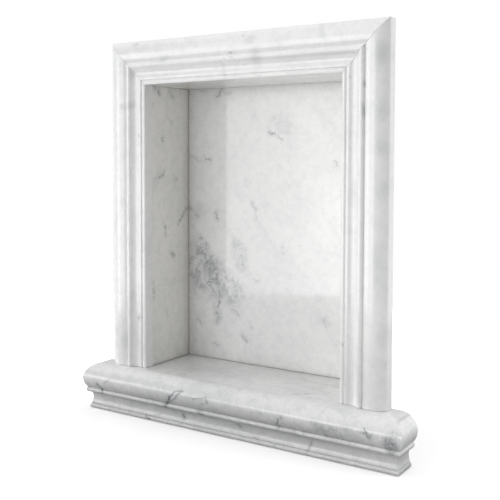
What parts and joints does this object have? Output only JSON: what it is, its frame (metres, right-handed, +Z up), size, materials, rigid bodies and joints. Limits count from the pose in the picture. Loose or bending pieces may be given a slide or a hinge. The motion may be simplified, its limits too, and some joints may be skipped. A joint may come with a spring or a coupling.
{
  "type": "marble shower niche",
  "caption": "Recessed marble wall niche with a mitred moulded frame, a moulded sill with returned ends and flat lining panels, for bottles in a shower.",
  "frame": {"origin": "on the wall plane, at the middle of the sill's flat back face, which bears on the wall", "axes": "+Z up, +Y into the wall, +X to the right of someone who faces the niche"},
  "size_m": [0.4964, 0.1403, 0.5274],
  "materials": {
    "moulding_marble": "polished",
    "sill_marble": "polished",
    "panel_marble": "polished"
  },
  "bodies": {
    "root": {"sill": "sill_marble", "left_jamb": "moulding_marble", "right_jamb": "moulding_marble", "head": "moulding_marble", "left_side_panel": "panel_marble", "right_side_panel": "panel_marble", "top_panel": "panel_marble", "back_panel": "panel_marble"}
  },
  "joints": []
}
